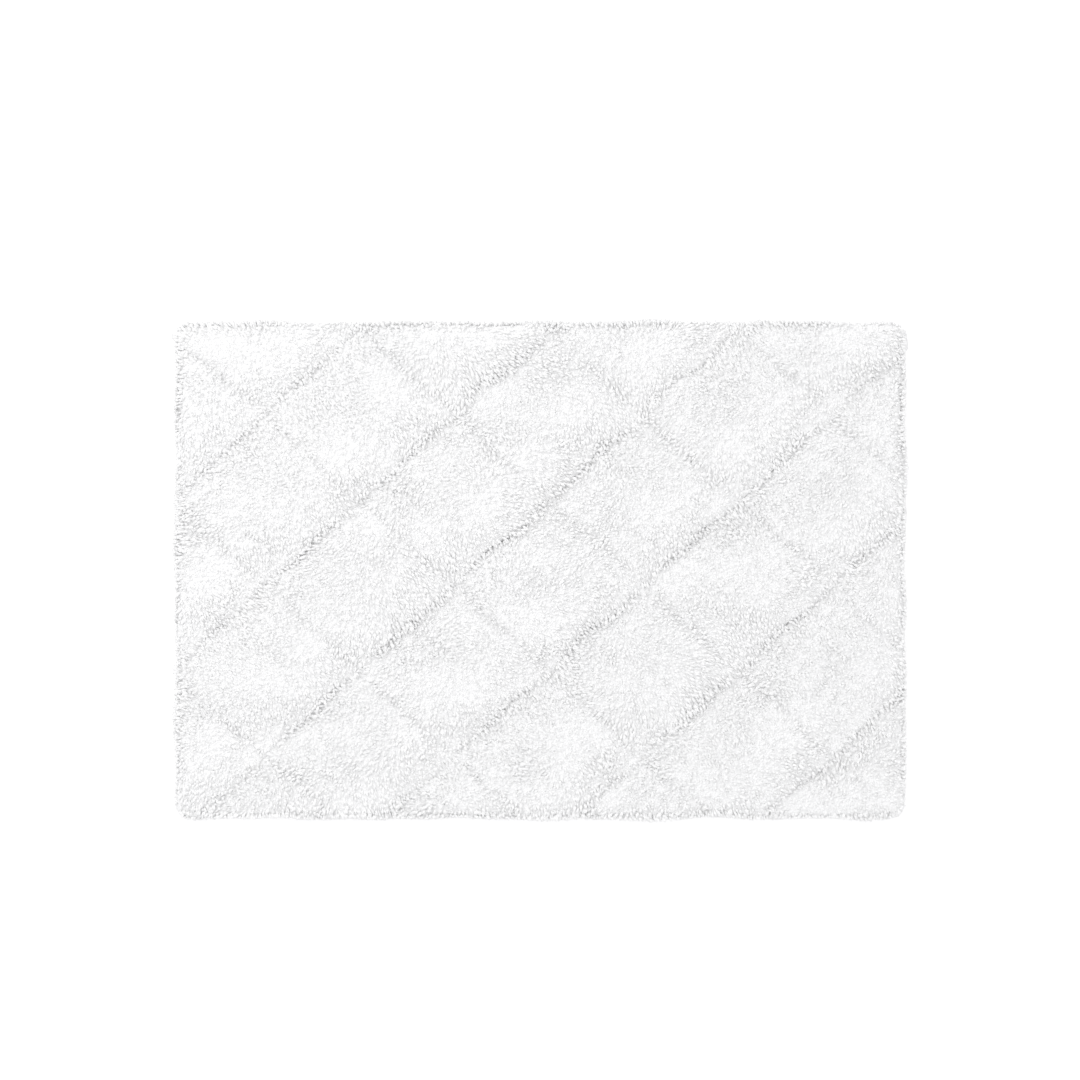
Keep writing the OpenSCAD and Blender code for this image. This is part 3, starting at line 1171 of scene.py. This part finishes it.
# even columns, but for one that is moved to the label's end and one more on each side of that
columns, rows = 26, 452
latex, share = new_grid("latex_backing", columns, rows)
even_x = (np.linspace(0, 1, columns - 1) - 0.5) * field_size[0]
even_x[np.abs(even_x - label_x).argmin()] = label_x
all_x = np.sort(np.concatenate([even_x, [label_x + label_rim, label_x - label_tuck]]))
x = all_x[np.round(share[:, 0] * columns).astype(int)]
y = (share[:, 1] - 0.5) * field_size[1]
at = np.stack([x, y], 1)
rib = (1 + np.cos(y / row_gap * math.tau)) / 2
swell = 0.75 + 0.25 * ripple(at, 14 * MM, 81)
grain = grain_high * (1 + ripple(at, 9 * MM, 82))
low = floor_gap + rib_high * rib * swell + grain
over_label = (x < label_x + 0.1 * MM) & (np.abs(y - label_y) < label_half)
low = np.where(over_label, label_high.z - tape_t + label_over, np.maximum(low, 0.01 * MM))
set_points(latex, np.stack([x, y, low], 1))

# the wall: the grid's outer edge is drawn up, made level and closed with one face
wall_rise, wall_top = 1.3 * MM, 1.5 * MM
edge_of = field_size / 2 - 0.01 * MM
pick(latex, "EDGE", lambda p: abs(p.x) > edge_of[0] or abs(p.y) > edge_of[1])
bpy.ops.mesh.extrude_region_move(TRANSFORM_OT_translate={"value": (0, 0, wall_rise)})
bpy.ops.transform.resize(value=(1, 1, 0), center_override=(0, 0, wall_top))
bpy.ops.mesh.edge_face_add()
bpy.ops.object.mode_set(mode="OBJECT")
print("height of the ribs in mm:", round(rib_high / MM, 2))

# %% [markdown]
# The part of the coat that runs on over the tape is a thin slab. Its four upright edges are bevelled
# to the cloth's round corners, and it is joined to the field.

# %% Join the slab of latex over the tape
choose_none()
flange_t = latex_top - tape_t
bpy.ops.mesh.primitive_cube_add(size=1, location=(0, 0, latex_top - flange_t / 2))
flange = bpy.context.object
flange.scale = (cloth_size[0], cloth_size[1], flange_t)
bpy.ops.object.transform_apply(location=True, rotation=True, scale=True)
pick(flange, "EDGE", lambda p: abs(p.z - latex_top + flange_t / 2) < 0.1 * MM)
bpy.ops.mesh.bevel(offset=cloth_corner, segments=8)
bpy.ops.object.mode_set(mode="OBJECT")
choose_none()
flange.select_set(True)
latex.select_set(True)
bpy.context.view_layer.objects.active = latex
bpy.ops.object.join()
pick(latex, "FACE", lambda p: True)
bpy.ops.mesh.normals_make_consistent(inside=False)
bpy.ops.object.mode_set(mode="OBJECT")
bpy.ops.object.shade_smooth_by_angle(angle=math.radians(smooth_angle))
print("latex faces:", len(latex.data.polygons))

# %% [markdown]
# Foamed latex is matt, cream-white and full of small pores. The back of each stitch shows through
# it as a bump on the rib, and large soft clouds make it a little darker here and there. Its colour
# is also darker in the pores and between the stitch backs, which is painted shade in the hollows.

# %% Latex material
foam = new_material("foamed_latex", 0.62)
place = add(foam, "ShaderNodeTexCoord").outputs["Object"]
parts = add(foam, "ShaderNodeSeparateXYZ", Vector=place)
beside = calc(foam, "MULTIPLY", parts.outputs["Y"], math.pi / row_gap)
along_rib = calc(foam, "MULTIPLY", parts.outputs["X"], math.tau / stitch_gap)
backs = calc(foam, "MULTIPLY", calc(foam, "ABSOLUTE", calc(foam, "COSINE", beside)),
             calc(foam, "ADD", calc(foam, "SINE", along_rib), 1.6))
pores = add(foam, "ShaderNodeTexVoronoi", {"feature": "SMOOTH_F1"}, Vector=place,
            Scale=1 / (0.8 * MM)).outputs["Distance"]
skin = add(foam, "ShaderNodeTexNoise", Vector=place, Scale=1 / (3 * MM), Detail=5.0).outputs["Fac"]
clouds = add(foam, "ShaderNodeTexNoise", Vector=place, Scale=1 / (60 * MM), Detail=3.0)
emboss(foam, (backs, 0.35 * MM), (pores, 0.15 * MM), (skin, 0.25 * MM))
# the colour: soft clouds, plus painted shade in the pores and between the stitch backs
cloud_and_painted_pit_shade = calc(foam, "ADD", calc(foam, "MULTIPLY", clouds.outputs["Fac"], 0.45),
            calc(foam, "MULTIPLY", pores, 0.45))
cloud_and_painted_pit_shade = calc(foam, "ADD", cloud_and_painted_pit_shade, calc(foam, "MULTIPLY", backs, 0.12))
paint(foam, cloud_and_painted_pit_shade, (0.70, 0.68, 0.61), (0.92, 0.91, 0.87))
place_piece(latex, "latex_coat", foam)
print("nodes in the latex:", len(foam.node_tree.nodes))

# %% [markdown]
# ## The hem tape
# A flat cotton tape is sewn round the underside and covers the raw edge of the cloth. Its four
# lengths meet in mitres. One grid is laid out for each length. Its lines across the tape are closer
# together at the two rows of stitches, which draw the tape in, and its outer points follow the
# cloth's round corners.
#
# The tape's herringbone weave is a relief on a map that follows it: slanting lines that turn back
# every 3 mm across the tape.

# %% Tape material
wale_gap = 1.3 * MM           # from one raised line of the weave to the next
herringbone = 3 * MM          # the lines turn back after this far across the tape

twill = new_material("herringbone_tape", 0.85)
woven = add(twill, "ShaderNodeUVMap", {"uv_map": "weave"}).outputs["UV"]
parts = add(twill, "ShaderNodeSeparateXYZ", Vector=woven)
zigzag = calc(twill, "PINGPONG", parts.outputs["Y"], herringbone)
slanting = calc(twill, "ADD", parts.outputs["X"], zigzag)
wales = calc(twill, "SINE", calc(twill, "MULTIPLY", slanting, math.tau / wale_gap))
slubs = add(twill, "ShaderNodeTexNoise", Vector=woven, Scale=1 / (0.5 * MM), Detail=3.0)
slubs = slubs.outputs["Fac"]
emboss(twill, (wales, 0.16 * MM), (slubs, 0.08 * MM))
paint(twill, slubs, (0.86, 0.855, 0.84), (0.95, 0.95, 0.94))
print("nodes in the tape:", len(twill.node_tree.nodes))

# %% [markdown]
# Each length of tape is shaped as the one at the front and turned in its points, not as an object.
# Where a row of stitches runs, the tape is pulled up by `sunk` and puckers from stitch to stitch.

# %% Model the hem tape
stitch_rows = [4 * MM, 20 * MM]             # in from the tape's outer edge
stitch_gap_hem = 3.6 * MM
sunk = 0.34 * MM              # how far a row of stitches draws the tape up
sunk_reach = 0.75 * MM        # and over how long a way to each side
pucker_high = 0.06 * MM
selvedge_high = 0.12 * MM     # the tape's two woven edges are a little thicker
tape_face = 2.4 * MM          # the size of its faces along it
# where the grid's lines lie, in millimetres from the outer edge, as shares of the whole width
tape_lines = np.array([0, 0.7, 2.2, 3.3, 4.0, 4.7, 5.8, 8.5, 12,
                       15.5, 18.2, 19.3, 20.0, 20.7, 21.8, 23.3, 24]) / 24


def model_tape(name, length, depth, turn):
    """The tape on the side at -Y of a mat of that length and depth, then turned into its place."""
    columns = round(length / tape_face)
    tape, share = new_grid(name, columns, len(tape_lines) - 1)
    inward = tape_lines[np.round(share[:, 1] * (len(tape_lines) - 1)).astype(int)] * tape_w
    along = (share[:, 0] - 0.5) * 2 * (length / 2 - inward)
    at = round_corners(np.stack([along, -depth / 2 + inward], 1), (length, depth), cloth_corner)
    pull = sum(np.exp(-((inward - row) / sunk_reach) ** 2) for row in stitch_rows)
    pucker = pucker_high * (1 + np.sin(along / stitch_gap_hem * math.tau)) * (0.3 + pull)
    selvedge = selvedge_high * (np.minimum(inward, tape_w - inward) < 0.1 * MM)
    low = 0.01 * MM + pull * sunk + pucker + selvedge
    c, n = round(math.cos(turn)), round(math.sin(turn))
    set_points(tape, np.stack([at[:, 0] * c - at[:, 1] * n, at[:, 0] * n + at[:, 1] * c, low], 1))
    map_in_metres(tape, along, inward)
    thicken(tape, tape_t - 0.2 * MM)
    place_piece(tape, name.replace("tape_", "hem_tape_"), twill)
    return tape


tapes = [
    model_tape("tape_front", cloth_size[0], cloth_size[1], 0),
    model_tape("tape_back", cloth_size[0], cloth_size[1], math.pi),
    model_tape("tape_left", cloth_size[1], cloth_size[0], -math.pi / 2),
    model_tape("tape_right", cloth_size[1], cloth_size[0], math.pi / 2),
]
print("tape faces:", sum(len(t.data.polygons) for t in tapes))

# %% [markdown]
# ## The stitching
# Two rows of lock stitch hold the tape. From below, each stitch is a short length of thread that
# dives into the tape at both ends. It is modelled once, like the yarn end but thinner, and copied
# along two lines round the mat. Each copy slants a little, as the thread of a lock stitch does.

# %% Model one stitch
thread_r = 0.31 * MM
stitch_l = 3.3 * MM           # 0.3 mm less than the step, so that each stitch ends before the next
stitch_rod = model_rod("stitch", stitch_l, thread_r, [0, 0.2, 0.8, 1.0], [0.7, 1.0, 1.0, 0.7], 4.0)
stitch_shape = add_yarn_maps(read_mesh(stitch_rod), stitch_l)
bpy.data.objects.remove(stitch_rod)

sewing = new_material("sewing_thread", 0.5)
plies, hairs = yarn_reliefs(sewing, turns=3, lays=3, fibres=18)
emboss(sewing, (plies, 0.05 * MM), (hairs, 0.03 * MM))
own_shade = add(sewing, "ShaderNodeAttribute", {"attribute_name": "tone"}).outputs["Fac"]
paint(sewing, own_shade, (0.9, 0.9, 0.9), clean_white)
print("points in a stitch:", len(stitch_shape["co"]))

# %% [markdown]
# The copies of the stitch are laid end to end along a line round the mat. The way at each place is
# the way from the stitch before it to the one after it, so they follow the round corners.

# %% Sew the two rows
dive = 0.5 * MM               # how far up a stitch goes into the tape at its ends
slant = math.radians(7)
slant_error = 0.03
thread_sink = 0.06 * MM


def sew(name, node, inset, seed):
    """A row of stitches round the mat, inset from the cloth's edge."""
    draw = np.random.default_rng(seed)
    at = walk_round(cloth_size, inset, max(cloth_corner - inset, 2 * MM), stitch_gap_hem)
    run = np.roll(at, -1, axis=0) - np.roll(at, 1, axis=0)
    turn = np.arctan2(run[:, 1], run[:, 0]) + slant + draw.normal(0, slant_error, len(at))
    local = stitch_shape["co"]
    x = local[:, 2] - stitch_l / 2
    c, n = np.cos(turn)[:, None], np.sin(turn)[:, None]
    level = thread_r - thread_sink + local[:, 0] + dive * (2 * x / stitch_l) ** 4
    points = np.stack([at[:, :1] + x * c - local[:, 1] * n, at[:, 1:] + x * n + local[:, 1] * c,
                       np.broadcast_to(level, (len(at), len(x)))], 2)
    group = (stitch_shape, points, draw.uniform(0, 1, len(at)), np.arange(len(at)))
    piece = build_mesh(name, join_ends([group], len(at)))
    place_piece(piece, node, sewing)
    return piece


rows_sewn = [sew("lock_stitch_outer", "hem_stitching_outer", stitch_rows[0], 801),
             sew("lock_stitch_inner", "hem_stitching_inner", stitch_rows[1], 802)]
print("stitches:", sum(len(r.data.vertices) for r in rows_sewn) // len(stitch_shape["co"]))

# %% [markdown]
# ## The care label
# A blank satin label is caught under the inner edge of the tape. It lies flat on the floor, steps
# up over the tape's edge and runs on between tape and latex. A grid is laid along that path, so the
# ribbon keeps one thickness round both bends. Whatever was printed on it is left out.

# %% Model the care label
ribbon_t = 0.3 * MM
flap_z = 0.04 * MM            # the flap lies this high over the floor,
tuck_z = tape_t + 0.06 * MM   # and the tucked end this high
side_gap = 0.1 * MM
step_x = label_low.x + label_tuck + 0.4 * MM
path_x = np.array([label_low.x, step_x - 0.2 * MM, step_x, step_x + 0.2 * MM, step_x + 0.6 * MM,
                   label_high.x - 0.4 * MM, label_high.x])
path_z = np.array([tuck_z, tuck_z, (flap_z + tuck_z) / 2, flap_z + 0.15 * MM, flap_z,
                   flap_z, flap_z + 0.05 * MM])
far = np.concatenate([[0], np.cumsum(np.hypot(np.diff(path_x), np.diff(path_z)))])

# the path's own corners take the place of some of the grid's even lines
columns, rows = 60, 14
label, share = new_grid("satin_label", columns, rows)
along = np.unique(np.concatenate([np.linspace(0, far[-1], columns + 3 - len(far)), far[1:-1]]))
along = along[np.round(share[:, 0] * columns).astype(int)]
across = label_low.y + side_gap + share[:, 1] * (label_high.y - label_low.y - 2 * side_gap)
set_points(label, np.stack([np.interp(along, far, path_x), across, np.interp(along, far, path_z)], 1))
map_in_metres(label, along, across)
thicken(label, ribbon_t)
print("label length in mm:", round(float(far[-1]) / MM, 1))

# %% [markdown]
# Satin shines along its long floating threads, so the ribbon is smoother than the cotton round it and
# has fine lines across its width. A thin grey border near its free end is all that is left of
# a print.

# %% Label material
float_gap = 0.45 * MM
border_in = 4 * MM            # from the free end
border_half = 0.35 * MM

satin = new_material("satin_ribbon", 0.34)
woven = add(satin, "ShaderNodeUVMap", {"uv_map": "weave"}).outputs["UV"]
parts = add(satin, "ShaderNodeSeparateXYZ", Vector=woven)
floats = calc(satin, "SINE", calc(satin, "MULTIPLY", parts.outputs["Y"], math.tau / float_gap))
emboss(satin, (floats, 0.04 * MM))
border = calc(satin, "COMPARE", parts.outputs["X"], float(far[-1]) - border_in)
border.node.inputs[2].default_value = border_half
paint(satin, border, (0.93, 0.93, 0.93), (0.6, 0.62, 0.65))
place_piece(label, "care_label", satin)
print("nodes in the satin:", len(satin.node_tree.nodes))
